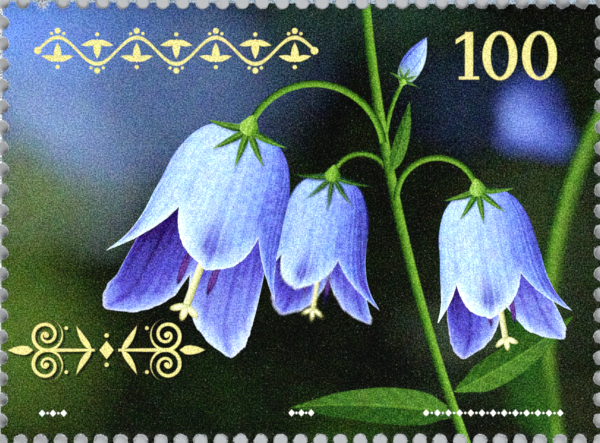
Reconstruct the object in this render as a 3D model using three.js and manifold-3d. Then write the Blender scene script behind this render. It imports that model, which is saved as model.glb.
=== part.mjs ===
// A perforated postage stamp: one sheet of gummed paper, printed side up, torn from its pane along rows
// of punched holes. Millimetres, +Z up. The origin is at the middle of the sheet, on the surface that the
// stamp lies on. X runs along the picture's width and Y up the picture. The sheet has the slight bow that
// gummed paper takes as it dries: a band across its middle is flat, and its two ends rise.
import * as THREE from "three";
import { mergeVertices } from "three/addons/utils/BufferGeometryUtils.js";
import Module from "manifold-3d";

// Perforation: a row of holes along each side, counted in pitches from corner hole to corner hole
const PITCHES_ACROSS = 30;
const PITCHES_DOWN = 21;
const HEIGHT = 30; // between the top and bottom rows, a gauge of 14 holes in 20 mm
const PITCH_DOWN = HEIGHT / PITCHES_DOWN;
const PITCH_ACROSS = 1.3637; // a gauge of 14.7 holes in 20 mm
const WIDTH = PITCHES_ACROSS * PITCH_ACROSS; // between the left and right rows
const HOLE_DIAMETER = 0.88;
const HOLE_SIDES = 20;
const LEAN = 0.0042; // the whole pattern leans to the right by this share of its height
const UNPUNCHED = 2; // the top row's hole, counted from the left corner, that its pin didn't cut

// Torn teeth: the paper tears a little past the line through the holes' centres
const TIP_LEAST = 0.15; // how far a torn tip reaches past that line
const TIP_MOST = 0.24;
const TIP_POINTS = [-0.32, -0.14, 0.01, 0.15, 0.32]; // along the side, from the tooth's middle
const TEAR_POINTS = [-0.2, 0, 0.18]; // along the side, from the middle of the unpunched hole
const TEAR_DIP = 0.16; // how far the tear may run inside the line there

// Paper and its bow
const THICKNESS = 0.11; // coated paper of about 100 g/m2 with its gum
const BOW_TURN = THREE.MathUtils.degToRad(10); // the bow's axis is turned this far from Y
const BOW_RADIUS = 300;
const FLAT_HALF = 3; // half the width of the flat band that the stamp rests on
const BOW_REACH = 24; // measured across the bow, and past the sheet's furthest corner
const BOW_FACETS = 6; // on each side of the flat band
const TOOL_REACH = 4; // how far the cutting tools stand above and below the sheet

const manifold = await Module();
manifold.setup();

// The same draws in every build
let seed = 7;
function between(low, high) {
  seed = (seed * 16807) % 2147483647;
  return low + ((high - low) * seed) / 2147483647;
}

function toSolid(geometry) {
  const bare = geometry.clone();
  bare.deleteAttribute("normal");
  bare.deleteAttribute("uv");
  const merged = mergeVertices(bare, 1e-5);
  return new manifold.Manifold(
    new manifold.Mesh({
      numProp: 3,
      vertProperties: new Float32Array(merged.attributes.position.array),
      triVerts: new Uint32Array(merged.index.array),
    }),
  );
}

function toGeometry(solid) {
  const mesh = solid.getMesh();
  const geometry = new THREE.BufferGeometry();
  geometry.setAttribute("position", new THREE.BufferAttribute(mesh.vertProperties, 3));
  geometry.setIndex(new THREE.BufferAttribute(mesh.triVerts, 1));
  geometry.computeVertexNormals();
  return geometry;
}

// How high the sheet's underside is at a distance across the bow from its middle
function bowHeight(across) {
  const past = Math.max(0, Math.abs(across) - FLAT_HALF);
  return (past * past) / (2 * BOW_RADIUS);
}

// The bowed slab that the stamp is cut from
function bowedSlab() {
  const facet = (BOW_REACH - FLAT_HALF) / BOW_FACETS;
  const rising = Array.from({ length: BOW_FACETS + 1 }, (_, i) => FLAT_HALF + i * facet);
  const stations = [...rising.map((across) => -across).reverse(), ...rising];
  const under = stations.map((across) => new THREE.Vector2(across, bowHeight(across)));
  const over = under.map((point) => new THREE.Vector2(point.x, point.y + THICKNESS)).reverse();
  const profile = new THREE.Shape([...under, ...over]);
  const slab = new THREE.ExtrudeGeometry(profile, { depth: 2 * BOW_REACH, bevelEnabled: false });
  slab.translate(0, 0, -BOW_REACH);
  slab.rotateX(Math.PI / 2);
  slab.rotateZ(BOW_TURN);
  return toSolid(slab);
}

// One side's torn points from its first hole to its last, as [distance along it, reach past it]
function tornPoints(pitches, pitch, unpunched) {
  const points = [];
  for (let tooth = 0; tooth < pitches; tooth++) {
    for (const along of TIP_POINTS) {
      points.push([(tooth + 0.5) * pitch + along, between(TIP_LEAST, TIP_MOST)]);
    }
    if (tooth + 1 === unpunched) {
      for (const along of TEAR_POINTS) {
        points.push([(tooth + 1) * pitch + along, between(-TEAR_DIP, TIP_MOST)]);
      }
    }
  }
  return points;
}

// These points of the upright pattern, with its lean
function leaning(points) {
  return points.map(([x, y]) => [x + LEAN * y, y]);
}

// The sheet's torn outline before the holes are punched, anticlockwise from its lower left corner
function tornOutline() {
  const right = WIDTH / 2;
  const top = HEIGHT / 2;
  const outline = [];
  for (const [along, reach] of tornPoints(PITCHES_ACROSS, PITCH_ACROSS)) {
    outline.push([along - right, -top - reach]);
  }
  for (const [along, reach] of tornPoints(PITCHES_DOWN, PITCH_DOWN)) {
    outline.push([right + reach, along - top]);
  }
  for (const [along, reach] of tornPoints(PITCHES_ACROSS, PITCH_ACROSS, PITCHES_ACROSS - UNPUNCHED)) {
    outline.push([right - along, top + reach]);
  }
  for (const [along, reach] of tornPoints(PITCHES_DOWN, PITCH_DOWN)) {
    outline.push([-right - reach, top - along]);
  }
  return leaning(outline).map(([x, y]) => new THREE.Vector2(x, y));
}

// A cutting tool with this section, which reaches through the whole sheet
function cuttingTool(section) {
  const geometry = new THREE.ExtrudeGeometry(section, {
    depth: 2 * TOOL_REACH,
    bevelEnabled: false,
    curveSegments: HOLE_SIDES / 2, // on each half of a circle
  });
  geometry.translate(0, 0, -TOOL_REACH);
  return toSolid(geometry);
}

function holeCentres() {
  const centres = [];
  for (let i = 0; i <= PITCHES_ACROSS; i++) {
    const x = i * PITCH_ACROSS - WIDTH / 2;
    centres.push([x, -HEIGHT / 2]);
    if (i !== UNPUNCHED) {
      centres.push([x, HEIGHT / 2]);
    }
  }
  for (let i = 0; i <= PITCHES_DOWN; i++) {
    const y = HEIGHT / 2 - i * PITCH_DOWN;
    centres.push([-WIDTH / 2, y]);
    centres.push([WIDTH / 2, y]);
  }
  return leaning(centres);
}

function stampGeometry() {
  const pin = cuttingTool(new THREE.Shape().absarc(0, 0, HOLE_DIAMETER / 2, 0, 2 * Math.PI));
  const pins = holeCentres().map(([x, y]) => pin.translate([x, y, 0]));
  const sheet = bowedSlab().intersect(cuttingTool(new THREE.Shape(tornOutline())));
  return toGeometry(sheet.subtract(manifold.Manifold.union(pins)));
}

const paper = new THREE.MeshStandardMaterial({ color: 0xefece2, roughness: 0.7, metalness: 0 });

const stamp = new THREE.Mesh(stampGeometry(), paper);
stamp.name = "stamp_paper";

const group = new THREE.Group();
group.add(stamp);

export default group;
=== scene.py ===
"""A perforated postage stamp, printed with a generic picture of nodding bellflowers.

The sheet is one closed mesh: its printed face, the rim that the pin dragged down round each hole, the
torn walls and the gummed back. The picture is a node material in the sheet's own millimetres.
"""

import functools
import inspect
import math
import random

import bpy
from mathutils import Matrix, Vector
from mathutils.geometry import delaunay_2d_cdt


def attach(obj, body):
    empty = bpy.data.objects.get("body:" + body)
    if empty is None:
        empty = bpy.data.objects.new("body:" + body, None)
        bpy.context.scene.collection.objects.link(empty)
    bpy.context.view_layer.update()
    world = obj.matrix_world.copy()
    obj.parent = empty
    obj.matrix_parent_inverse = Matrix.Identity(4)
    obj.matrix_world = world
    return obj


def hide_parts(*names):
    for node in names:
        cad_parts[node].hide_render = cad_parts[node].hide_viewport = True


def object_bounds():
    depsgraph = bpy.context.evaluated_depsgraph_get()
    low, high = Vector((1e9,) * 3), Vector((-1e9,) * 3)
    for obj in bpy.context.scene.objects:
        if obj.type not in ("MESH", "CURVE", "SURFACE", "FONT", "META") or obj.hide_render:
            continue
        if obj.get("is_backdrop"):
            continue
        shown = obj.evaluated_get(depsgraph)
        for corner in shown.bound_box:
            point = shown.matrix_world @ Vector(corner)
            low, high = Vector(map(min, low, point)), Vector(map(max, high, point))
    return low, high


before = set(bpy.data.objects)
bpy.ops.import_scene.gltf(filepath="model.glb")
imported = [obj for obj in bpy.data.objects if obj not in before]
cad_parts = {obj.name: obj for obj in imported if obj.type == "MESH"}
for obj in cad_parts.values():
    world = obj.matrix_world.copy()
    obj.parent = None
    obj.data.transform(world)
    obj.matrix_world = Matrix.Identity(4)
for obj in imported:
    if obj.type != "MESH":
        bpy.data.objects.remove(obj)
cad_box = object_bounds()

MM = 0.001  # in metres

# Sizes in millimetres, as in the CAD part
PITCHES_ACROSS = 30
PITCHES_DOWN = 21
HEIGHT = 30.0
PITCH_DOWN = HEIGHT / PITCHES_DOWN
PITCH_ACROSS = 1.3637
WIDTH = PITCHES_ACROSS * PITCH_ACROSS
HOLE_RADIUS = 0.44
LEAN = 0.0042  # the rows lean to the right by this share of their height
UNPUNCHED = 2  # the top row's hole, counted from the left corner, that its pin didn't cut
TEAR_X = UNPUNCHED * PITCH_ACROSS - WIDTH / 2 + LEAN * HEIGHT / 2
THICKNESS = 0.11
BOW_TURN = math.radians(10)
BOW_RADIUS = 300
FLAT_HALF = 3

# Finer than the CAD part
HOLE_POINTS = 44
HOLE_JITTER = 0.008  # how uneven a pin's cut is
TIP_HALF = 0.32  # torn points reach this far either side of a tooth's middle
TIP_STEPS = 12
TIP_LEAST = 0.15
TIP_MOST = 0.24
TEAR_HALF = 0.3  # the same at the unpunched hole
TEAR_DIP = 0.16
RIM = 0.066  # width of the rim at each side of a hole
# The pale rim is drawn wider above each hole and narrower below it: a painted highlight on the hole's upper
# edge
RIM_SHIFT = 0.038  # it is this much wider above a hole and narrower below it
RIM_WANDER = 0.006  # and its middle strays this far more
RIM_DROP = 0.05  # how far the pin dragged the rim down
GRID = 0.9  # spacing of the points inside the sheet
GRID_MARGIN = 0.75
WALL_FUZZ = 0.012

random.seed(11)


def placed(name, data):
    """A new object in the scene"""
    thing = bpy.data.objects.new(name, data)
    bpy.context.collection.objects.link(thing)
    return thing


# -------- the sheet's shape

def bow_height(x, y):
    """How high the sheet's underside is at a point"""
    across = x * math.cos(BOW_TURN) + y * math.sin(BOW_TURN)
    past = max(0.0, abs(across) - FLAT_HALF)
    return past * past / (2 * BOW_RADIUS)


def leaning(points):
    """These points of the upright pattern, with its lean"""
    return [(x + LEAN * y, y) for x, y in points]


def hole_centres():
    centres = []
    for i in range(PITCHES_ACROSS + 1):
        x = i * PITCH_ACROSS - WIDTH / 2
        centres.append((x, -HEIGHT / 2))
        if i != UNPUNCHED:
            centres.append((x, HEIGHT / 2))
    for i in range(PITCHES_DOWN + 1):
        y = HEIGHT / 2 - i * PITCH_DOWN
        centres.append((-WIDTH / 2, y))
        centres.append((WIDTH / 2, y))
    return leaning(centres)


def torn_stretch(middle, half, low, high):
    """Ragged points about one place of a side, as (distance along the side, reach past it)"""
    lean = random.uniform(-0.5, 0.5)
    points = []
    for step in range(TIP_STEPS + 1):
        share = step / TIP_STEPS
        level = 0.5 + lean * (share - 0.5) + random.uniform(-0.35, 0.35)
        along = middle + half * (2 * share - 1) + random.uniform(-0.3, 0.3) * half / TIP_STEPS
        points.append((along, low + level * (high - low)))
    return points


def torn_side(pitches, pitch, unpunched=None):
    """One side's torn points from its first hole to its last"""
    points = []
    for tooth in range(pitches):
        points += torn_stretch((tooth + 0.5) * pitch, TIP_HALF, TIP_LEAST, TIP_MOST)
        if tooth + 1 == unpunched:
            points += torn_stretch((tooth + 1) * pitch, TEAR_HALF, -TEAR_DIP, TIP_MOST)
    return points


def torn_outline():
    """The sheet's outline before the holes are punched, anticlockwise"""
    right, top = WIDTH / 2, HEIGHT / 2
    outline = []
    for along, reach in torn_side(PITCHES_ACROSS, PITCH_ACROSS):
        outline.append((along - right, -top - reach))
    for along, reach in torn_side(PITCHES_DOWN, PITCH_DOWN):
        outline.append((right + reach, along - top))
    for along, reach in torn_side(PITCHES_ACROSS, PITCH_ACROSS, PITCHES_ACROSS - UNPUNCHED):
        outline.append((right - along, top + reach))
    for along, reach in torn_side(PITCHES_DOWN, PITCH_DOWN):
        outline.append((-right - reach, top - along))
    return leaning(outline)


def ring(centre, radius, jitter):
    points = []
    for i in range(HOLE_POINTS):
        angle = math.tau * i / HOLE_POINTS
        reach = radius + random.uniform(-jitter, jitter)
        points.append((centre[0] + reach * math.cos(angle), centre[1] + reach * math.sin(angle)))
    return points


def rim_ring(centre):
    """The outer edge of the rim round a hole"""
    x = centre[0] + random.uniform(-RIM_WANDER, RIM_WANDER)
    y = centre[1] + RIM_SHIFT + random.uniform(-RIM_WANDER, RIM_WANDER)
    return ring((x, y), HOLE_RADIUS + RIM, HOLE_JITTER / 2)


def inner_grid():
    half_x, half_y = WIDTH / 2 - GRID_MARGIN, HEIGHT / 2 - GRID_MARGIN
    columns, rows = round(2 * half_x / GRID), round(2 * half_y / GRID)
    return [
        (half_x * (2 * i / columns - 1), half_y * (2 * j / rows - 1))
        for i in range(columns + 1)
        for j in range(rows + 1)
    ]


def with_neighbours(loop):
    """Each item of a closed loop, between the ones before and after it"""
    return zip(loop[-1:] + loop[:-1], loop, loop[1:] + loop[:1])


def triangulate(centres):
    """The sheet's points and its triangles"""
    points, loops = [], []

    def add_loop(loop):
        loops.append(list(range(len(points), len(points) + len(loop))))
        points.extend(loop)

    add_loop(torn_outline())
    for centre in centres:
        add_loop(ring(centre, HOLE_RADIUS, HOLE_JITTER))
    for centre in centres:
        add_loop(rim_ring(centre))
    points += inner_grid()
    flat, _, faces, _, _, parents = delaunay_2d_cdt([Vector(p) for p in points], [], loops, 0, 1e-5)
    holes = set(range(1, 1 + len(centres)))
    kept = [0 in inside and not holes & set(inside) for inside in parents]
    triangles = [face for face, is_kept in zip(faces, kept) if is_kept]
    used = sorted({v for triangle in triangles for v in triangle})
    renumbered = {old: new for new, old in enumerate(used)}
    triangles = [[renumbered[v] for v in triangle] for triangle in triangles]
    return [tuple(flat[v]) for v in used], triangles


def border_loop(triangles):
    """The points round the sheet's border, in order, with the sheet on their left"""
    edges = {(t[i], t[(i + 1) % 3]) for t in triangles for i in range(3)}
    following = {a: b for a, b in edges if (b, a) not in edges}
    start = min(following)
    loop = [start]
    while following[loop[-1]] != start:
        loop.append(following[loop[-1]])
    return loop


def nearest_hole(point, centres):
    return min(math.dist(point, centre) for centre in centres)


# The sheet's own map, OFBake: the printed face above, and below it the back and the walls in rows
FACE_SCALE = 0.99 / (WIDTH + 1)
FACE_MIDDLE = (0.5, 0.63)
BACK_SCALE = 0.34 / (WIDTH + 1)
BACK_MIDDLE = (0.175, 0.13)
WALL_ROWS = 8
WALL_LEFT = 0.37
WALL_LENGTH = 0.61
WALL_LOW = 0.015
WALL_PITCH = 0.029
WALL_HEIGHT = 0.022

PAPER_SLOT, GUM_SLOT, PRINT_SLOT = range(3)  # and the print's other zones follow

# The print's zones. Each has a material of its own with only the shapes that reach it, because Cycles
# works out every shape of a material at every point.
ZONE_COLUMNS = [-22.0, -12.5, -0.5, 9.5, 22.0]
ZONE_ROWS = [-17.0, -11.2, 8.0, 17.0]
ZONE_MARGIN = 1.2  # more than a face reaches out of its zone
ZONES = [
    (left, right, low, high)
    for low, high in zip(ZONE_ROWS, ZONE_ROWS[1:])
    for left, right in zip(ZONE_COLUMNS, ZONE_COLUMNS[1:])
]


def zone_of(x, y):
    """The number of the zone that a point of the print is in"""
    for index, (left, right, low, high) in enumerate(ZONES):
        if left <= x <= right and low <= y <= high:
            return index


def sheet_points(flat, loop, centres):
    """The points of the face, then of the back, then of the middle of the walls"""
    border = set(loop)
    points = []
    for index, (x, y) in enumerate(flat):
        past_hole = (nearest_hole((x, y), centres) - HOLE_RADIUS) / RIM
        drop = RIM_DROP * (1 - min(1, max(0, past_hole))) ** 1.5
        if index in border:
            drop += random.uniform(0, WALL_FUZZ)
        points.append((x, y, bow_height(x, y) + THICKNESS - drop))
    for index, (x, y) in enumerate(flat):
        lift = random.uniform(0, WALL_FUZZ) if index in border else 0
        points.append((x, y, bow_height(x, y) + lift))
    for before, here, after in with_neighbours(loop):
        along = Vector(flat[after]) - Vector(flat[before])
        outward = Vector((along.y, -along.x)).normalized() * random.uniform(-0.3, 1) * WALL_FUZZ
        x, y = Vector(flat[here]) + outward
        points.append((x, y, bow_height(x, y) + THICKNESS * random.uniform(0.25, 0.5)))
    return points


def wall_faces(flat, loop):
    """The faces of the walls, each with its places on the map"""
    count = len(flat)
    faces = []
    for step, here in enumerate(loop):
        after = (step + 1) % len(loop)
        row = step * WALL_ROWS // len(loop)
        left = WALL_LEFT + WALL_LENGTH * (step * WALL_ROWS / len(loop) - row)
        right = left + WALL_LENGTH * WALL_ROWS / len(loop)
        low = WALL_LOW + WALL_PITCH * row
        levels = [
            (loop[after], here, low + WALL_HEIGHT),
            (2 * count + after, 2 * count + step, low + WALL_HEIGHT / 2),
            (loop[after] + count, here + count, low),
        ]
        for (b_high, a_high, high), (b_low, a_low, level) in zip(levels, levels[1:]):
            places = ((right, high), (left, high), (left, level), (right, level))
            faces.append(((b_high, a_high, a_low, b_low), places))
    return faces


def on_map(point, middle, across, up):
    """A flat point's place on the map, from the map's scales along its two axes"""
    return middle[0] + point[0] * across, middle[1] + point[1] * up


def build_sheet():
    """The whole stamp as one closed mesh; also returns the points round its torn border"""
    centres = hole_centres()
    flat, triangles = triangulate(centres)
    loop = border_loop(triangles)
    count = len(flat)
    points = sheet_points(flat, loop, centres)

    faces, slots, spots = [], [], []
    for triangle in triangles:
        faces.append(triangle)
        middle_x, middle_y = [sum(flat[v][axis] for v in triangle) / 3 for axis in (0, 1)]
        slots.append(PRINT_SLOT + zone_of(middle_x, middle_y))
        spots += [on_map(flat[v], FACE_MIDDLE, FACE_SCALE, FACE_SCALE) for v in triangle]
    for a, b, c in triangles:
        faces.append((c + count, b + count, a + count))
        slots.append(GUM_SLOT)
        spots += [on_map(flat[v], BACK_MIDDLE, -BACK_SCALE, BACK_SCALE) for v in (c, b, a)]
    for face, places in wall_faces(flat, loop):
        faces.append(face)
        slots.append(PAPER_SLOT)
        spots += places

    mesh = bpy.data.meshes.new("stamp_sheet")
    mesh.from_pydata([Vector(point) * MM for point in points], [], faces)
    mesh.polygons.foreach_set("material_index", slots)
    mesh.polygons.foreach_set("use_smooth", [True] * len(faces))
    layer = mesh.uv_layers.new(name="OFBake")
    layer.data.foreach_set("uv", [value for spot in spots for value in spot])
    around = set(loop) | {v + count for v in loop}
    for edge in mesh.edges:
        edge.use_edge_sharp = all(v in around for v in edge.vertices)
    return placed("stamp_sheet", mesh), [Vector(points[v]) for v in loop]


# -------- loose fibres

FIBRE_SIDES = 3
FIBRE_STEPS = 4
FIBRE_RADIUS = (0.004, 0.009)
FIBRE_LENGTH = (0.06, 0.26)
FIBRE_ROOT = 0.03  # how deep in the paper a fibre starts
FIBRES_ON_TIPS = 1100
FIBRES_ON_TEAR = 75
TEAR_RADIUS = 0.36  # of the patch of fibres over the unpunched hole
TEAR_LENGTH = (0.08, 0.22)
WISPS = 34  # tufts of fibres that hang on in the holes
WISP_FIBRES = 3
WISP_RADIUS = (0.007, 0.014)
WISP_LENGTH = (0.16, 0.42)
FLOOR_GAP = 0.015  # between the floor and the lowest fibre's middle


def fibre(root, heading, lengths, radii, verts, faces):
    """A tapering, curling thread of a few sides, with its root sunk in the paper"""
    length, radius = random.uniform(*lengths), random.uniform(*radii)
    start = len(verts)
    spot = Vector(root)
    step = length / FIBRE_STEPS
    heading = heading.normalized()
    curl = Vector((random.gauss(0, 1), random.gauss(0, 1), random.gauss(0, 0.5))) * 0.35
    for i in range(FIBRE_STEPS + 1):
        spot.z = max(spot.z, FLOOR_GAP)
        side = heading.orthogonal().normalized()
        other = heading.cross(side)
        width = radius * (1 - 0.6 * i / FIBRE_STEPS)
        for k in range(FIBRE_SIDES):
            angle = math.tau * k / FIBRE_SIDES
            verts.append(spot + (side * math.cos(angle) + other * math.sin(angle)) * width)
        heading = (heading + curl * (i + 1) / FIBRE_STEPS).normalized()
        spot = spot + heading * step
    for i in range(FIBRE_STEPS):
        for k in range(FIBRE_SIDES):
            a = start + i * FIBRE_SIDES + k
            b = start + i * FIBRE_SIDES + (k + 1) % FIBRE_SIDES
            faces.append((a, b, b + FIBRE_SIDES, a + FIBRE_SIDES))
    faces.append(tuple(start + k for k in reversed(range(FIBRE_SIDES))))
    faces.append(tuple(start + FIBRE_STEPS * FIBRE_SIDES + k for k in range(FIBRE_SIDES)))


def build_fibres(border):
    """Threads of torn paper on the teeth's tips, in some holes and over the unpunched hole"""
    verts, faces = [], []
    torn, cut = [], []
    for before, here, after in with_neighbours(border):
        past_row = max(abs(here.x - LEAN * here.y) - WIDTH / 2, abs(here.y) - HEIGHT / 2)
        along = after - before
        place = here, Vector((along.y, -along.x, 0)).normalized()
        (torn if past_row > TIP_LEAST * 0.9 else cut).append(place)
    for _ in range(FIBRES_ON_TIPS):
        here, outward = random.choice(torn)
        root = here - outward * FIBRE_ROOT - Vector((0, 0, random.uniform(0.1, 0.9) * THICKNESS))
        heading = outward + Vector((random.gauss(0, 0.7), random.gauss(0, 0.7), random.gauss(0, 0.25)))
        fibre(root, heading, FIBRE_LENGTH, FIBRE_RADIUS, verts, faces)
    for _ in range(WISPS):
        here, outward = random.choice(cut)
        lean = Vector((random.gauss(0, 0.8), random.gauss(0, 0.8), 0))
        root = here - outward * FIBRE_ROOT - Vector((0, 0, random.uniform(0.3, 0.8) * THICKNESS))
        for _ in range(WISP_FIBRES):
            heading = outward + lean + Vector((random.gauss(0, 0.2), random.gauss(0, 0.2), 0.1))
            fibre(root, heading, WISP_LENGTH, WISP_RADIUS, verts, faces)
    for _ in range(FIBRES_ON_TEAR):
        angle, reach = random.uniform(math.pi, math.tau), TEAR_RADIUS * math.sqrt(random.random())
        x, y = TEAR_X + reach * math.cos(angle), HEIGHT / 2 - 0.08 + reach * math.sin(angle)
        root = Vector((x, y, bow_height(x, y) + THICKNESS - 0.012))
        heading = Vector((random.gauss(0, 1), random.gauss(0.3, 1), 0.25))
        fibre(root, heading, TEAR_LENGTH, FIBRE_RADIUS, verts, faces)
    mesh = bpy.data.meshes.new("torn_fibres")
    mesh.from_pydata([v * MM for v in verts], [], faces)
    mesh.polygons.foreach_set("use_smooth", [True] * len(faces))
    return placed("torn_fibres", mesh)


# -------- arithmetic on material nodes

def operators(operation):
    """The methods for an operation with a value on the right, and with one on the left"""
    return lambda a, b: calc(operation, a, b), lambda a, b: calc(operation, b, a)


class Field:
    """A value at each point of a surface: a node's output socket, with arithmetic"""

    def __init__(self, socket):
        self.socket = socket

    __add__, __radd__ = operators("ADD")
    __sub__, __rsub__ = operators("SUBTRACT")
    __mul__, __rmul__ = operators("MULTIPLY")
    __truediv__, __rtruediv__ = operators("DIVIDE")
    __pow__, __rpow__ = operators("POWER")

    def __neg__(self):
        return calc("MULTIPLY", self, -1.0)

    def __abs__(self):
        return calc("ABSOLUTE", self)


def new_node(kind, inputs, **settings):
    """A node in the tree that its linked inputs belong to; inputs are by name or by number"""
    tree = next(value.socket.id_data for value in inputs.values() if isinstance(value, Field))
    node = tree.nodes.new(kind)
    for name, value in settings.items():
        setattr(node, name, value)
    for name, value in inputs.items():
        if isinstance(value, Field):
            tree.links.new(value.socket, node.inputs[name])
        else:
            node.inputs[name].default_value = value
    return node


def output_of(kind, inputs, output=0, **settings):
    return Field(new_node(kind, inputs, **settings).outputs[output])


def calc(operation, *values):
    return output_of("ShaderNodeMath", dict(enumerate(values)), operation=operation)


def least(*values):
    return functools.reduce(lambda a, b: calc("MINIMUM", a, b), values)


def most(*values):
    return functools.reduce(lambda a, b: calc("MAXIMUM", a, b), values)


def smooth(value, start, end):
    """0 before start and 1 past end, with a smooth step between; start may lie past end. The clamp
    stays off, because Cycles adds a node for it that holds back all that follows it."""
    inputs = {"Value": value, "From Min": start, "From Max": end}
    return output_of("ShaderNodeMapRange", inputs, interpolation_type="SMOOTHSTEP", clamp=False)


def rounded_least(a, b, blend):
    """The lesser of two values, with a soft turn from one to the other"""
    return calc("SMOOTH_MIN", a, b, blend)


def fitted(value, points):
    """The smooth curve through a few points, for a value from 0 to 1"""
    node = new_node("ShaderNodeFloatCurve", {"Value": value})
    curve = node.mapping.curves[0]
    curve.points[0].location, curve.points[1].location = points[0], points[-1]
    for point in points[1:-1]:
        curve.points.new(*point)
    node.mapping.update()
    return Field(node.outputs[0])


def noise(point, scale, detail=2.0, roughness=0.5, flat=True, output=0):
    inputs = {"Vector": point, "Scale": scale, "Detail": detail, "Roughness": roughness}
    dimensions = "2D" if flat else "3D"
    return output_of("ShaderNodeTexNoise", inputs, output, noise_dimensions=dimensions)


def streaks(value, detail=2.0):
    """A noise along one value alone"""
    inputs = {"W": value, "Scale": 1.0, "Detail": detail}
    return output_of("ShaderNodeTexNoise", inputs, noise_dimensions="1D")


def cells(point, scale):
    """A random colour for each cell of a mosaic, and how far a point is from its cell's middle"""
    node = new_node("ShaderNodeTexVoronoi", {"Vector": point, "Scale": scale}, voronoi_dimensions="2D")
    return Field(node.outputs["Color"]), Field(node.outputs["Distance"])


def red_of(colour):
    return output_of("ShaderNodeSeparateColor", {0: colour})


def srgb(red, green, blue):
    """A colour given as the eye sees it, from 0 to 255, in the linear values that nodes take"""
    def linear(value):
        share = value / 255
        return share / 12.92 if share <= 0.04045 else ((share + 0.055) / 1.055) ** 2.4
    return linear(red), linear(green), linear(blue), 1.0


def tones(*stops):
    """Stops for toned, from (place, red, green, blue)"""
    return [(place, srgb(*colour)) for place, *colour in stops]


MIX_FACTOR, MIX_UNDER, MIX_OVER, MIX_RESULT = 0, 6, 7, 2


def painted(under, over, mask, how="MIX"):
    inputs = {MIX_FACTOR: mask, MIX_UNDER: under, MIX_OVER: over}
    return output_of("ShaderNodeMix", inputs, MIX_RESULT, data_type="RGBA", blend_type=how)


def toned(value, stops):
    """A colour for each value from 0 to 1, blended between stops of (place, colour)"""
    node = new_node("ShaderNodeValToRGB", {0: value})
    ramp = node.color_ramp
    ramp.elements[0].position, ramp.elements[1].position = stops[0][0], stops[-1][0]
    for place, _ in stops[1:-1]:
        ramp.elements.new(place)
    for element, (_, colour) in zip(ramp.elements, stops):
        element.color = colour
    return Field(node.outputs[0])


def socket_kind(value):
    """The kind of node group socket that carries a value"""
    colour = value.socket.type == "RGBA" if isinstance(value, Field) else isinstance(value, tuple)
    return "NodeSocketColor" if colour else "NodeSocketFloat"


def grouped(build):
    """Puts what a function builds in a node group of its own, which each later call uses again"""
    names = list(inspect.signature(build).parameters)

    def use(*values):
        group = bpy.data.node_groups.get(build.__name__)
        if group is None:
            group = bpy.data.node_groups.new(build.__name__, "ShaderNodeTree")
            for name, value in zip(names, values):
                group.interface.new_socket(name, in_out="INPUT", socket_type=socket_kind(value))
            entry = group.nodes.new("NodeGroupInput")
            result = build(*(Field(entry.outputs[name]) for name in names))
            group.interface.new_socket("result", in_out="OUTPUT", socket_type=socket_kind(result))
            group.links.new(result.socket, group.nodes.new("NodeGroupOutput").inputs[0])
        return output_of("ShaderNodeGroup", dict(zip(names, values)), node_tree=group)

    return use


# -------- shapes of the picture

DEGREE = math.pi / 180


def local(x, y, centre_x, centre_y, turn, size=1.0):
    """The point seen from a centre, in axes turned anticlockwise by degrees, in units of a size"""
    angle = turn * DEGREE
    if isinstance(angle, Field):
        cosine, sine = calc("COSINE", angle) / size, calc("SINE", angle) / size
    else:
        cosine, sine = math.cos(angle) / size, math.sin(angle) / size
    x, y = x - centre_x, y - centre_y
    return x * cosine + y * sine, y * cosine - x * sine


def length_of(x, y):
    return (x * x + y * y) ** 0.5


def distance(x, y, centre_x, centre_y, width=1.0, height=1.0):
    """How far a point is from a centre, where an oval of this half width and height is at 1"""
    return length_of((x - centre_x) / width, (y - centre_y) / height)


def within(edge, soft):
    """1 inside a shape and 0 outside it, from how far inside it the point is"""
    return smooth(edge, -soft, soft)


LEAF_SHAPE = [(0.0, 0.0), (0.1, 0.42), (0.35, 1.0), (0.65, 0.8), (0.88, 0.32), (1.0, 0.0)]


def blade(x, y, root_x, root_y, turn, length, width, bend):
    """A leaf shape from its root, which points up at a turn of 0 and whose tip bends sideways. Returns
    how far inside it the point is, its side from -1 to 1 and its place along it from 0 to 1."""
    across, along = local(x, y, root_x, root_y, turn, length)
    half = fitted(along, LEAF_SHAPE) * (width / length)
    offset = across - bend * along * along
    return (half - abs(offset)) * length, offset / half, along


def arc(x, y, centre_x, centre_y, radius, middle, spread):
    """An arc of a circle: how far outside it the point is, and its place along it from -1 to 1.
    Spread is half of the angle that the arc covers, in degrees."""
    x, y = local(x, y, centre_x, centre_y, middle)
    return length_of(x, y) - radius, calc("ARCTAN2", y, x) / (spread * DEGREE)


STEM_TONES = tones((0.0, 22, 52, 14), (0.35, 70, 122, 30), (0.7, 132, 186, 62), (1.0, 196, 222, 128))


@grouped
def stem(picture, x, y, mottle, centre_x, centre_y, radius, middle, spread, half, soft, lit):
    """A stalk along an arc, round and lit from one side"""
    out, along = arc(x, y, centre_x, centre_y, radius, middle, spread)
    side = out / half
    light = 0.3 + lit * 0.34 * side - 0.2 * side * side + mottle * 0.3
    shown = within(half - abs(out), soft) * smooth(abs(along), 1.0, 0.98)
    return painted(picture, toned(light, STEM_TONES), shown)


LEAF_TONES = tones((0.0, 12, 34, 10), (0.4, 46, 92, 26), (0.75, 108, 160, 58), (1.0, 186, 214, 130))


@grouped
def leaf(picture, x, y, mottle, root_x, root_y, turn, length, width, bend, soft, light):
    """A leaf blade with a midrib, side veins and one half lit more than the other"""
    depth, side, along = blade(x, y, root_x, root_y, turn, length, width, bend)
    veins = calc("PINGPONG", along * 9.0 - abs(side) * 1.3, 0.5)
    rib = smooth(abs(side), 0.07 + soft, 0.0)
    tone = light + smooth(side, -0.1 - soft, 0.1 + soft) * 0.14 + veins * 0.14
    tone = tone + rib * (0.2 - soft * 0.2) - along * 0.1 + (mottle - 0.5) * 0.25
    return painted(picture, toned(tone, LEAF_TONES), within(depth, soft))


# -------- the bellflowers

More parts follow.
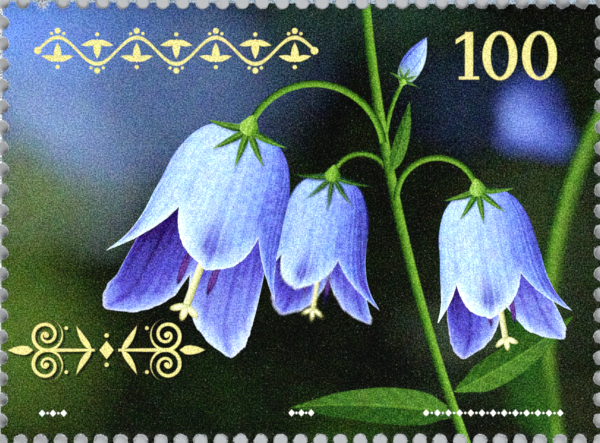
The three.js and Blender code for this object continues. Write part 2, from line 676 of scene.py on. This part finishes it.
# A bell's radius from its base to its mouth, in bell lengths, and how far its edge falls back from the
# middle of a lobe to the notch beside it
BELL = [(0.0, 0.1), (0.05, 0.2), (0.2, 0.29), (0.46, 0.335), (0.68, 0.375), (0.85, 0.45), (1.0, 0.59)]
LOBE_EDGE = [(0.0, 0.0), (0.08, 0.05), (0.35, 0.22), (0.7, 0.56), (1.0, 1.0)]
LOBE = math.tau / 5
SIDE_TRIM = 0.34  # lobes that are seen edge on are this much shorter
PALE_MARGIN = 0.15  # a petal pales this close to its edge
RIPPLE = 0.022  # how far its edge waves
TIP_ROUNDING = 0.05
FLARE_STEP = 0.06
LIGHT = Vector((-0.5, 0.5, 0.7)).normalized()

PETAL_TONES = tones(
    (0.0, 58, 54, 156), (0.25, 98, 110, 216), (0.5, 142, 172, 246),
    (0.72, 184, 214, 252), (0.88, 214, 238, 250), (1.0, 240, 250, 246),
)
THROAT_TONES = tones(
    (0.0, 44, 16, 100), (0.4, 92, 84, 200), (0.75, 146, 164, 240), (1.0, 206, 226, 250),
)
PISTIL_TONES = tones((0.0, 96, 104, 60), (0.5, 202, 204, 122), (1.0, 248, 247, 214))
ANTHER_TONES = tones((0.0, 36, 8, 80), (1.0, 120, 72, 164))
VIOLET = srgb(84, 62, 188)
CREAM_EDGE = srgb(240, 244, 238)


def facing(side, spot, radius, nod, face):
    """How squarely a bell's wall meets the light; face is 1 on its outside and -1 on its inside"""
    flare = (fitted(spot + FLARE_STEP, BELL) - radius) / FLARE_STEP
    cosine, sine = calc("COSINE", nod), calc("SINE", nod)
    level = side * (face * LIGHT.x) + (1.0 - side * side) ** 0.5 * (sine * LIGHT.y + cosine * LIGHT.z)
    return (level + flare * (cosine * LIGHT.y - sine * LIGHT.z) * face) / (1.0 + flare * flare) ** 0.5


def side_of(across, radius):
    """The place across a bell's wall, from -1 at its left edge to 1 at its right"""
    return least(most(across / radius, -0.999), 0.999)


def inset_of(side, lobe, lobes, streak):
    """How far down a bell its edge is, where lobe is 0 at a lobe's middle and 1 at a notch"""
    trim = smooth(abs(side), 0.86, 1.0) * SIDE_TRIM
    return 1.0 - lobes * fitted(lobe, LOBE_EDGE) - trim + streak * RIPPLE


def paint_throat(picture, across, down, spot, mottle, nod, spin, lobes, blur, light):
    """The inside of a bell's far wall"""
    radius = fitted(spot, BELL)
    side = side_of(across, radius)
    angle = math.pi - calc("ARCSINE", side) - spin
    lobe = calc("PINGPONG", angle / LOBE, 0.5) * 2.0
    streak = streaks(angle * 12.0) - 0.5
    inset = inset_of(side, lobe, lobes, streak) - spot
    tone = 0.36 + light + facing(side, spot, radius, nod, -1.0) * 0.5 - smooth(spot, 0.92, 0.4) * 0.55
    tone = tone + streak * 0.34 + (mottle - 0.5) * 0.3 - smooth(lobe, 0.14, 0.02) * 0.12
    tone = tone + smooth(inset, PALE_MARGIN, 0.0) * 0.34
    colour = painted(toned(tone, THROAT_TONES), CREAM_EDGE, smooth(inset, 0.03, 0.0) * 0.5)
    shown = within(rounded_least(inset, radius - abs(across), TIP_ROUNDING), blur)
    return painted(picture, colour, shown * smooth(down, 0.2, 0.3))


STYLE_PLACE, STYLE_HALF, STYLE_REACH = 0.012, 0.02, 1.05
STIGMA_HALF, STIGMA_REACH = 0.019, 0.044
ANTHER_PLACE, ANTHER_HALF, ANTHER_REACH, ANTHER_LENGTH = 0.08, 0.018, 0.84, 0.1


def paint_pistil(picture, across, down, blur):
    """A pale style that ends in three spreading stigmas, with a dark anther at each side"""
    across = across - STYLE_PLACE
    beside = abs(across)
    anther = distance(beside, down, ANTHER_PLACE, ANTHER_REACH, ANTHER_HALF, ANTHER_LENGTH)
    groove = smooth(abs(beside - ANTHER_PLACE), 0.006, 0.0)
    tone = 1.0 - anther * anther * 0.9 - groove * 0.5
    picture = painted(picture, toned(tone, ANTHER_TONES), within((1.0 - anther) * ANTHER_HALF, blur))
    tone = 0.85 - (across / STYLE_HALF + 0.5) ** 2.0 * 0.34
    style = within(STYLE_HALF - beside, blur) * within(STYLE_REACH - down, blur)
    picture = painted(picture, toned(tone, PISTIL_TONES), style * smooth(down, 0.3, 0.4))
    lobes = []
    for sideways, turn in ((across, 0), (beside, -56)):
        lobe_across, lobe_down = local(sideways, down, 0, STYLE_REACH - 0.02, turn)
        lobes.append(distance(lobe_across, lobe_down, 0.0, STIGMA_REACH, STIGMA_HALF, STIGMA_REACH))
    stigma = least(*lobes)
    tone = 1.0 - stigma * stigma * 0.6
    return painted(picture, toned(tone, PISTIL_TONES), within((1.0 - stigma) * STIGMA_HALF, blur))


def paint_bell(picture, across, spot, mottle, nod, spin, lobes, blur, light):
    """The outside of a bell's near wall"""
    radius = fitted(spot, BELL)
    side = side_of(across, radius)
    angle = calc("ARCSINE", side) - spin
    lobe = calc("PINGPONG", angle / LOBE, 0.5) * 2.0
    streak = streaks(angle * 14.0 + spot * 0.7) - 0.5
    inset = inset_of(side, lobe, lobes, streak) - spot
    tone = 0.18 + light + facing(side, spot, radius, nod, 1.0) * 0.58
    tone = tone + (mottle - 0.5) * 0.36 + streak * 0.34
    tone = tone - smooth(lobe, 0.1, 0.0) * smooth(spot, 0.1, 0.7) * 0.14
    tone = tone - smooth(lobe, 0.75, 1.0) * smooth(spot, 0.25, 0.7) * 0.16
    tone = tone + smooth(inset, PALE_MARGIN, 0.0) * 0.24 + smooth(side, 0.75, 1.0) * 0.12
    blotch = smooth(lobe + streak * 0.7, 0.42, 0.0) * smooth(spot + mottle * 0.2, 0.68, 1.0)
    colour = painted(toned(tone, PETAL_TONES), VIOLET, blotch * smooth(inset, 0.02, 0.13) * 0.85)
    colour = painted(colour, CREAM_EDGE, smooth(inset, 0.03, 0.0) * 0.65)
    shown = within(rounded_least(inset, radius - abs(across), TIP_ROUNDING), blur)
    return painted(picture, colour, shown * smooth(spot, -0.02, 0.0))


@grouped
def bellflower(picture, x, y, mottle, base_x, base_y, turn, length, nod, spin, lobes, soft, light):
    """A hanging bell. turn swings its mouth to the right, nod turns the mouth to the viewer, and spin
    turns the flower about its own axis, all in degrees."""
    nod, spin, blur = nod * DEGREE, spin * DEGREE, soft / length
    across, up = local(x, y, base_x, base_y, turn, length)
    down = up / -calc("COSINE", nod)
    around = fitted(least(down, 1.0), BELL)
    side = across / around
    lift = most(1.0 - side * side, 0.0) ** 0.5 * around * calc("TANGENT", nod)
    picture = paint_throat(picture, across, down, down - lift, mottle, nod, spin, lobes, blur, light)
    picture = paint_pistil(picture, across, down, blur)
    return paint_bell(picture, across, down + lift, mottle, nod, spin, lobes, blur, light)


BUD = [(0.0, 0.1), (0.12, 0.18), (0.35, 0.22), (0.6, 0.19), (0.85, 0.085), (1.0, 0.0)]


@grouped
def bud(picture, x, y, mottle, base_x, base_y, turn, length, soft):
    """A closed bud, with its petals folded round each other"""
    blur = soft / length
    across, up = local(x, y, base_x, base_y, turn, length)
    radius = fitted(-up, BUD)
    side = side_of(across, radius)
    fold = calc("PINGPONG", calc("ARCSINE", side) / LOBE - up * 0.7, 0.5)
    tone = 0.5 - side * 0.3 + (mottle - 0.5) * 0.3 - smooth(fold, 0.1, 0.0) * 0.3 - up * 0.1
    colour = painted(toned(tone, PETAL_TONES), srgb(150, 190, 110), smooth(up, -0.45, -0.05) * 0.7)
    return painted(picture, colour, within(radius - abs(across), blur))


CALYX_TOOTH = [(0.0, 0.12), (0.2, 0.15), (0.55, 0.12), (1.0, 0.0)]  # half width along a tooth
CALYX_REACH = 1.6
CALYX_STEP = math.radians(37)
CUP = [(0.0, 0.34), (0.3, 0.37), (0.6, 0.27), (0.85, 0.16), (1.0, 0.12)]  # half width up the cup
CUP_BELOW, CUP_TALL = 0.12, 0.66


@grouped
def calyx(picture, x, y, mottle, base_x, base_y, turn, size, soft, light):
    """The green cup that carries a bell, with its five narrow teeth spread over the bell"""
    blur = soft / size
    across, up = local(x, y, base_x, base_y, turn, size)
    reach = length_of(across, up)
    angle = calc("ARCTAN2", across, -up)
    tooth = least(most(calc("ROUND", angle / CALYX_STEP), -2.0), 2.0)
    off = (angle - tooth * (CALYX_STEP + 0.05 * reach)) * reach
    half = fitted(reach / CALYX_REACH, CALYX_TOOTH)
    shadow = smooth(half - abs(off - 0.07), -0.07, 0.07) * smooth(up, 0.1, -0.3) * 0.4
    picture = painted(picture, srgb(26, 30, 96), shadow)
    tone = light + 0.25 * smooth(abs(off), 0.05, 0.0) - off * 1.2 + (mottle - 0.5) * 0.3
    picture = painted(picture, toned(tone, LEAF_TONES), within(half - abs(off), blur))
    along = (up + CUP_BELOW) / CUP_TALL
    half = fitted(along, CUP)
    side = across / half
    rib = calc("PINGPONG", side * 1.8, 0.5)
    tone = 0.5 + light * 0.5 - (side + 0.4) ** 2.0 * 0.28 + rib * 0.25 + (mottle - 0.5) * 0.3
    shown = within(half - abs(across), blur) * within(along + 0.2 - side * side * 0.2, blur)
    shown = shown * within(1.0 - along - side * side * 0.12, blur)
    return painted(picture, toned(tone, STEM_TONES), shown)


# -------- the picture, from back to front

GLOWS = [  # centre, half width and height, colour and strength of lights in the soft background
    (-20, 13, 15, 9, srgb(114, 154, 236), 1.0),
    (-17, 6.5, 12, 9, srgb(132, 158, 202), 0.9),
    (-7, 9.5, 10, 9, srgb(86, 110, 152), 0.9),
    (-18, 1.5, 9, 5, srgb(104, 122, 76), 0.9),
    (-20, -7, 11, 12, srgb(82, 110, 40), 0.95),
    (4, 14, 11, 6, srgb(38, 66, 54), 0.75),
    (-6, -12, 7, 6, srgb(20, 44, 8), 0.6),
    (16, -1, 9, 10, srgb(52, 68, 40), 0.8),
    (12.5, -7.5, 8, 5, srgb(68, 84, 62), 0.8),
    (3, -15, 7, 4, srgb(40, 72, 6), 0.7),
    (12, 8, 7, 5, srgb(28, 44, 68), 0.8),
    (17, -13, 8, 6, srgb(42, 50, 26), 0.8),
    (10, -13, 6, 4, srgb(28, 44, 22), 0.7),
    (15.9, 7.2, 2.6, 3.4, srgb(78, 92, 188), 1.0),
    (15.9, 5.5, 3.4, 2.4, srgb(88, 104, 198), 1.0),
    (15.4, 6.5, 1.7, 2.4, srgb(130, 154, 224), 0.9),
]


@grouped
def glow(picture, x, y, centre_x, centre_y, width, height, colour, strength):
    off = distance(x, y, centre_x, centre_y, width, height)
    return painted(picture, colour, smooth(off, 1.0, 0.0) * strength)


def paint_background(point, x, y):
    picture = toned(noise(point, 0.16, 2), tones((0.3, 3, 6, 2), (0.7, 14, 26, 7)))
    x = x + (noise(point, 0.09, 1) - 0.5) * 6.0
    y = y + (noise(point, 0.11, 1) - 0.5) * 6.0
    for centre_x, centre_y, width, height, colour, strength in GLOWS:
        picture = glow(picture, x, y, centre_x, centre_y, width, height, colour, strength)
    return picture


PLANTS = [  # from back to front: shape, box that holds it (left, right, low, high) and values
    # Out of focus, behind
    (stem, (14.5, 21.5, -16, 9), (50.0, -8.0, 33.5, 172.0, 40.0, 0.5, 0.9, -1.0)),
    (leaf, (10.5, 20.5, -16, -2.5), (17.0, -15.5, 24.0, 13.0, 1.6, 0.2, 0.7, 0.2)),
    # The flower behind the main stem
    (stem, (1.5, 6.5, 2, 5.2), (4.1, 2.7, 2.0, 95.0, 75.0, 0.15, 0.14, -1.0)),
    (bellflower, (-3.8, 5.6, -7.6, 4.2), (2.12, 3.05, -9.0, 9.0, 12.0, -14.0, 0.3, 0.16, -0.1)),
    (calyx, (-0.6, 4.9, 0.2, 4.2), (2.15, 3.1, -9.0, 1.45, 0.14, 0.32)),
    # The main stem, its leaves and the stalks of the flowers
    (leaf, (-1.3, 11.5, -14.5, -10.6), (10.9, -13.2, 79.0, 11.5, 1.25, -0.15, 0.07, 0.4)),
    (leaf, (9.8, 19.4, -12.6, -5.8), (10.4, -11.6, -66.0, 9.6, 1.1, -0.15, 0.05, 0.42)),
    (stem, (5.2, 7.5, 4.2, 10), (14.94, 5.0, 9.22, 165.5, 16.0, 0.14, 0.05, -1.0)),
    (stem, (3.2, 12.2, -16, 16), (123.8, 26.4, 120.0, 190.0, 12.0, 0.34, 0.06, -1.0)),
    (stem, (-4.5, 6.3, 3.6, 10), (0.87, 4.67, 4.8, 85.0, 77.0, 0.24, 0.05, -1.0)),
    (leaf, (5.4, 8.4, 2.8, 9), (6.0, 3.2, -24.0, 5.2, 0.5, -0.15, 0.04, 0.45)),
    (stem, (6, 12.7, 0.8, 4.9), (9.3, 1.6, 2.8, 97.0, 87.0, 0.2, 0.05, -1.0)),
    # The bud
    (bud, (5.9, 9.6, 8.8, 13.2), (6.95, 9.6, 152.0, 3.4, 0.04)),
    (calyx, (5.5, 8.4, 8.2, 11), (6.95, 9.6, 152.0, 0.66, 0.04, 0.5)),
    # The two flowers in front
    (bellflower, (8, 19.4, -10, 3.2), (12.06, 2.1, 10.0, 10.2, 14.0, -6.0, 0.32, 0.04, 0.0)),
    (calyx, (9.2, 15.1, -0.8, 3.2), (12.06, 2.15, 10.0, 1.5, 0.04, 0.5)),
    (bellflower, (-14.6, 0.3, -10, 8), (-3.64, 6.3, -20.0, 13.5, 24.0, 4.0, 0.34, 0.04, 0.0)),
    (calyx, (-7, -0.3, 2.6, 7.8), (-3.6, 6.35, -20.0, 1.8, 0.04, 0.5)),
]


# -------- ornament and number

CREAM = srgb(232, 224, 146)
WHITE_INK = srgb(240, 242, 232)
CRISP = 0.035  # half the width of a printed edge's transition


def inked(edge):
    """1 where a point is inside an edge"""
    return smooth(edge, CRISP, -CRISP)


def bar(x, y, centre_x, centre_y, half_width, half_height, lean=0.0):
    """How far outside a straight bar a point is; the bar may lean"""
    x, y = x - centre_x, y - centre_y
    return most(abs(x - y * lean) - half_width, abs(y) - half_height)


def dot(x, y, centre_x, centre_y, radius):
    return distance(x, y, centre_x, centre_y) - radius


def sprig(x, y, *leaf_places):
    """How far outside a small printed leaf a point is"""
    return -blade(x, y, *leaf_places)[0]


NUMBER_MIDDLE = (14.3, 11.35)
DIGIT_HEIGHT = 1.62


@grouped
def number(picture, x, y):
    """A plain 100"""
    middle_x, middle_y = NUMBER_MIDDLE
    one = middle_x - 2.85
    stroke = bar(x, y, one, middle_y, 0.27, DIGIT_HEIGHT)
    foot = bar(x, y, one, middle_y - DIGIT_HEIGHT + 0.1, 0.68, 0.1)
    flag = bar(y, x, middle_y + DIGIT_HEIGHT - 0.42, one - 0.5, 0.15, 0.4, 0.6)
    shape = least(stroke, foot, flag)
    for middle in (middle_x - 0.75, middle_x + 1.95):
        body = (distance(x, y, middle, middle_y, 1.18, DIGIT_HEIGHT + 0.05) - 1.0) * 1.18
        hollow = (1.0 - distance(x, y, middle, middle_y, 0.63, DIGIT_HEIGHT - 0.16)) * 0.63
        shape = least(shape, most(body, hollow))
    return painted(picture, CREAM, inked(shape))


BAND_LEFT, BAND_RIGHT, BAND_HEIGHT = -18.0, 0.9, 11.7
BAND_CELLS = 7


@grouped
def band(picture, x, y):
    """A running vine: a wavy stem, with leaves in its hollows and berries on its crests and ends"""
    cell = (BAND_RIGHT - BAND_LEFT) / BAND_CELLS
    place = (x - BAND_LEFT) / cell
    flip = 1.0 - calc("FLOORED_MODULO", calc("FLOOR", place), 2.0) * 2.0
    x_here = abs(calc("FRACT", place) - 0.5) * cell
    y_here = (y - BAND_HEIGHT) * flip
    crest = calc("COSINE", x_here * (math.pi / cell)) * 0.9
    vine = (abs(y_here - crest) - 0.13) * 0.75
    shape = least(vine, sprig(x_here, y_here, 0.0, -0.8, 0.0, 1.35, 0.26, 0.0))
    shape = least(shape, sprig(x_here, y_here, 0.02, -0.72, -58.0, 1.1, 0.2, 0.25))
    for spot in ((0.0, 1.36, 0.2), (0.42, 1.17, 0.11), (0.0, -1.12, 0.14)):
        shape = least(shape, dot(x_here, y_here, *spot))
    middle, half = (BAND_LEFT + BAND_RIGHT) / 2, (BAND_RIGHT - BAND_LEFT) / 2
    beside = abs(x - middle)
    shape = least(most(shape, beside - half), dot(beside, y, half, BAND_HEIGHT, 0.25))
    return painted(picture, CREAM, inked(shape))


SWASH_MIDDLE = (-13.3, -8.75)
SCROLL_PLACE, SCROLL_REACH, SCROLL_TURNS = 4.1, 1.02, 1.75


@grouped
def swash(x, y):
    """How far outside a pen flourish a point is: a bar with scrolls and leaves at each end"""
    x = abs(x - SWASH_MIDDLE[0])
    y = abs(y - SWASH_MIDDLE[1])
    shape = least(x * 1.3 + y - 0.62, most(y - 0.07 - x * 0.012, abs(x - 2.5) - 1.7))
    over_x, over_y = x - SCROLL_PLACE, y - SCROLL_REACH
    radius = length_of(over_x, over_y)
    pitch = SCROLL_REACH / SCROLL_TURNS
    winding = calc("FRACT", radius / pitch + calc("ARCTAN2", over_y, over_x) / math.tau)
    coil = abs(winding - 0.5) * pitch - 0.06 - radius * 0.06
    shape = least(shape, most(coil, radius - SCROLL_REACH - 0.1), radius - 0.17)
    inner = sprig(x, y, 1.0, 0.0, -44.0, 1.9, 0.2, -0.2)
    outer = sprig(x, y, 5.0, 0.0, -90.0, 1.7, 0.3, 0.0)
    return least(shape, inner, outer, dot(x, y, 0.0, 1.0, 0.14), dot(x, y, 2.75, 1.5, 0.12))


def paint_swash(picture, x, y):
    shadow = smooth(swash(x - 0.14, y + 0.14), 0.12, -0.06) * 0.8
    picture = painted(picture, srgb(6, 12, 4), shadow)
    return painted(picture, CREAM, inked(swash(x, y)))


SMALL_ROWS = [(-16.95, 1.1), (0.0, 1.0), (13.1, 4.95)]  # middle and half length of each row
SMALL_HEIGHT = -13.05


@grouped
def small_rows(picture, x, y):
    """Rows of tiny lozenges and dots along the foot of the picture"""
    y = abs(y - SMALL_HEIGHT)
    for middle, half in SMALL_ROWS:
        pitch = 2 * half / round(2 * half / 0.75)
        along = abs(calc("FRACT", (x - (middle - half)) / pitch) - 0.5) * pitch
        shape = least(along * 1.1 + y - 0.24, length_of(along - pitch / 2, y) - 0.075)
        picture = painted(picture, WHITE_INK, inked(most(shape, abs(x - middle) - half + 0.15)))
    return picture


ORNAMENTS = [  # each with its box
    (band, (-18.5, 1.5, 9.8, 13.7)),
    (number, (10.2, 17.8, 9.4, 13.4)),
    (paint_swash, (-20.6, -6, -11.5, -6)),
    (small_rows, (-18.4, 18.4, -13.6, -12.5)),
]


# -------- materials

def new_material(name, roughness, specular=0.5):
    material = bpy.data.materials.new(name)
    material.use_nodes = True
    shader = material.node_tree.nodes["Principled BSDF"]
    shader.inputs["Specular IOR Level"].default_value = specular
    shader.inputs["Roughness"].default_value = roughness
    place = Field(material.node_tree.nodes.new("ShaderNodeTexCoord").outputs["Object"])
    point = output_of("ShaderNodeMapping", {"Vector": place, "Scale": (1 / MM, 1 / MM, 1 / MM)})
    return material, shader, point


def parts(point):
    node = new_node("ShaderNodeSeparateXYZ", {0: point})
    return Field(node.outputs[0]), Field(node.outputs[1])


def plug(field, shader, name):
    field.socket.id_data.links.new(field.socket, shader.inputs[name])


def bumped(shader, height, depth, strength=1.0):
    """Relief from a height of 0 to 1, at this depth in millimetres"""
    inputs = {"Height": height, "Distance": depth * MM, "Strength": strength}
    plug(output_of("ShaderNodeBump", inputs), shader, "Normal")


PRINT_TOP = 14.95  # the print is out of register: it stops short of the top and left teeth's tips
PRINT_LEFT = -20.44
PRINT_SLANT = 0.0045  # and it is turned clockwise by this share of a radian
EDGE_BLUR = 0.04  # half the width of the print's worn edge
INK_TO_HOLE = 0.05  # the ink starts this far from a hole
RIM_BARENESS = 0.72  # and a trace of it stays on the rim
TEAR_CLEAR = 0.55  # no rim this near the unpunched hole, but a torn patch
TEAR_BARENESS = 0.85
CYAN_TRACE = srgb(96, 142, 172)  # left on the teeth above the print
GRAIN = 18.0  # printed specks per millimetre
GRAIN_WAVES = 10.0  # and softer waves
GRAIN_DEPTH = 0.17
GRAIN_TINT = 0.1
CLOUD_WAVES = 0.8  # faint drifts of colour
CLOUD_DEPTH = 0.04
PRINT_CONTRAST = 0.1
DUST = 2.6  # places for a speck of dust per millimetre


def row_distance(along, across, pitch, first):
    """How far a point is from the nearest hole of a row, with the row along one axis"""
    step = (calc("FRACT", (along - first) / pitch + 0.5) - 0.5) * pitch
    return length_of(step, across)


def hole_distance(x, y):
    """How far a point is from the nearest hole of the four rows"""
    x = x - y * LEAN
    in_rows = row_distance(x, abs(y) - HEIGHT / 2, PITCH_ACROSS, WIDTH / 2)
    in_columns = row_distance(y, abs(x) - WIDTH / 2, PITCH_DOWN, HEIGHT / 2)
    return least(in_rows, in_columns)


def reaches(box, zone):
    left, right, low, high = box
    zone_left, zone_right, zone_low, zone_high = zone
    beside = left < zone_right + ZONE_MARGIN and right > zone_left - ZONE_MARGIN
    return beside and low < zone_high + ZONE_MARGIN and high > zone_low - ZONE_MARGIN


EYE_GAMMA = 2.2


def grained(picture, point):
    """The print's fine grain, as strong to the eye in the dark parts as in the pale ones"""
    tint, _ = cells(point, GRAIN)
    grain = noise(point, GRAIN_WAVES, 0) + red_of(tint) * 0.5
    grey = toned(grain - 0.25, [(0.0, (0, 0, 0, 1)), (1.0, (1, 1, 1, 1))])
    seen = output_of("ShaderNodeGamma", {"Color": picture, "Gamma": 1 / EYE_GAMMA})
    seen = output_of("ShaderNodeBrightContrast", {"Color": seen, "Contrast": PRINT_CONTRAST})
    seen = painted(seen, painted(grey, tint, GRAIN_TINT), GRAIN_DEPTH, "LINEAR_LIGHT")
    seen = painted(seen, noise(point, CLOUD_WAVES, 3, output=1), CLOUD_DEPTH, "LINEAR_LIGHT")
    chance, off = cells(point, DUST)
    dust = smooth(off, 0.15, 0.05) * smooth(red_of(chance), 0.6, 1.1)
    seen = painted(seen, (0.75, 0.8, 0.78, 1), dust * 0.45)
    return output_of("ShaderNodeGamma", {"Color": seen, "Gamma": EYE_GAMMA})


def make_print(zone):
    material, shader, point = new_material("printed_face", 0.42, 0.06)
    x, y = parts(point)
    mottle = noise(point, 2.4, 4, roughness=0.6)
    picture = paint_background(point, x, y)
    for paint, box, values in PLANTS:
        if reaches(box, zone):
            picture = paint(picture, x, y, mottle, *values)
    for paint, box in ORNAMENTS:
        if reaches(box, zone):
            picture = paint(picture, x, y)
    picture = grained(picture, point)

    # Bare paper at the torn teeth and round each hole, where the pin took most of the ink off. The pale band
    # round each hole is wider above it and narrower below it: a painted highlight on each hole's upper edge
    fray = noise(point, 9.0, 3)
    rough = fray - 0.5
    above = y + x * PRINT_SLANT + rough * 0.1
    beside = x - y * PRINT_SLANT + rough * 0.12
    over_print = smooth(above, PRINT_TOP - EDGE_BLUR, PRINT_TOP + EDGE_BLUR)
    bare = most(over_print, smooth(beside, PRINT_LEFT + EDGE_BLUR, PRINT_LEFT - EDGE_BLUR))
    torn = most(abs(x - y * LEAN) - WIDTH / 2, abs(y) - HEIGHT / 2) + rough * 0.4
    bare = most(bare, smooth(torn, TIP_LEAST, TIP_LEAST + 0.06))
    # The holes are moved down here, so the pale rim reaches further above each hole: a painted highlight on
    # each upper edge
    past_hole = hole_distance(x, y - RIM_SHIFT) + rough * 0.1 + (mottle - 0.5) * 0.3 - HOLE_RADIUS
    tear = distance(x, y, TEAR_X, HEIGHT / 2 - 0.05)
    rim = smooth(past_hole, INK_TO_HOLE + 0.02, INK_TO_HOLE - 0.03)
    rim = rim * smooth(tear, TEAR_CLEAR, TEAR_CLEAR + 0.05)
    bare = most(bare, rim * RIM_BARENESS)
    flakes = noise(point, 6.5, 3, roughness=0.7)
    bare = most(bare, smooth(tear + (flakes - 0.5) * 1.2, 0.5, 0.2) * TEAR_BARENESS)
    worn = fray * 0.6 + mottle * 0.4
    paper = toned(worn, tones((0.38, 92, 106, 104), (0.59, 250, 252, 255)))
    paper = painted(paper, CYAN_TRACE, over_print * 0.5)
    plug(painted(picture, paper, bare), shader, "Base Color")
    plug(0.4 + rough * 0.2 + bare * 0.35, shader, "Roughness")
    bumped(shader, fray * 0.4 + noise(point, 1.3, 3) * 0.6 + bare * fray * 2.0, 0.012, 0.6)
    return material


def make_paper(name, tint):
    """Bare torn paper: pale, matt and fibrous, and greyer in places"""
    material, shader, point = new_material(name, 0.85, 0.2)
    fibres = noise(point, 14.0, 4, flat=False, roughness=0.65)
    worn = fibres * 0.45 + noise(point, 3.0, 2) * 0.55
    low, high = [srgb(*(value - fade for value in tint)) for fade in (110, 0)]
    plug(toned(worn, [(0.34, low), (0.56, high)]), shader, "Base Color")
    bumped(shader, fibres, 0.02, 0.8)
    return material


def make_gum():
    """The dried gum: faintly yellow, with a low gloss and the fine ridges that keep it from curling"""
    material, shader, point = new_material("gummed_back", 0.3, 0.5)
    x, y = parts(point)
    pools = noise(point, 0.6, 3)
    speckle = noise(point, 7.0, 2)
    tone = pools * 0.7 + speckle * 0.3
    plug(toned(tone, tones((0.3, 226, 220, 198), (0.7, 244, 240, 226))), shader, "Base Color")
    ridges = calc("SINE", (x + y * 0.03 + noise(point, 0.3, 1) * 0.5) * (math.tau / 0.8))
    plug(0.26 + pools * 0.2 + speckle * 0.1, shader, "Roughness")
    bumped(shader, ridges * 0.4 + speckle * 0.5, 0.014, 0.7)
    return material


def make_floor():
    material, shader, point = new_material("pale_floor", 0.9, 0.1)
    drift = noise(point, 0.02, 2)
    tone = toned(drift, [(0.3, (0.47, 0.48, 0.49, 1)), (0.7, (0.49, 0.5, 0.51, 1))])
    plug(tone, shader, "Base Color")
    return material


# -------- stage, lights and camera

VIEW_WIDTH = 41.01  # of the stamp, across the whole frame
VIEW_MIDDLE = (-0.094, 0.03)
LENS = 200


def add_floor():
    half = 0.6  # metres
    mesh = bpy.data.meshes.new("floor")
    corners = [(-half, -half, 0), (half, -half, 0), (half, half, 0), (-half, half, 0)]
    mesh.from_pydata(corners, [], [(0, 1, 2, 3)])
    mesh.materials.append(make_floor())
    floor = placed("floor", mesh)
    floor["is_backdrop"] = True


def add_light(name, place, size, power):
    light = bpy.data.lights.new(name, "AREA")
    light.shape = "SQUARE"
    light.size = size
    light.energy = power
    lamp = placed(name, light)
    lamp.location = place
    lamp.rotation_euler = (-Vector(place)).to_track_quat("-Z", "Y").to_euler()


def add_lights():
    add_light("key", (-0.12, -0.34, 0.44), 0.3, 2.5)
    add_light("fill", (0.3, 0.3, 0.4), 0.3, 1.5)
    world = bpy.data.worlds.new("studio")
    world.use_nodes = True
    sky = world.node_tree.nodes["Background"].inputs
    sky["Color"].default_value = (0.9, 0.94, 1.0, 1)
    sky["Strength"].default_value = 0.27
    bpy.context.scene.world = world


def add_camera():
    camera = bpy.data.cameras.new("camera")
    camera.lens = LENS
    camera.clip_start = 0.005
    eye = placed("camera", camera)
    rise = THICKNESS + VIEW_WIDTH * LENS / camera.sensor_width
    eye.location = Vector((*VIEW_MIDDLE, rise)) * MM
    bpy.context.scene.camera = eye
    bpy.context.scene.view_settings.view_transform = "Standard"


# -------- putting it together

sheet, border = build_sheet()
materials = [make_paper("torn_paper", (250, 250, 246)), make_gum()]
materials += [make_print(zone) for zone in ZONES]
for material in materials:
    sheet.data.materials.append(material)
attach(sheet, "root")
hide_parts("stamp_paper")

fibres = build_fibres(border)
fibres.data.materials.append(make_paper("paper_fibres", (252, 252, 250)))
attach(fibres, "root")

add_floor()
add_lights()
add_camera()

sizes = {"cad": [list(corner) for corner in cad_box], "visual": [list(corner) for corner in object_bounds()]}
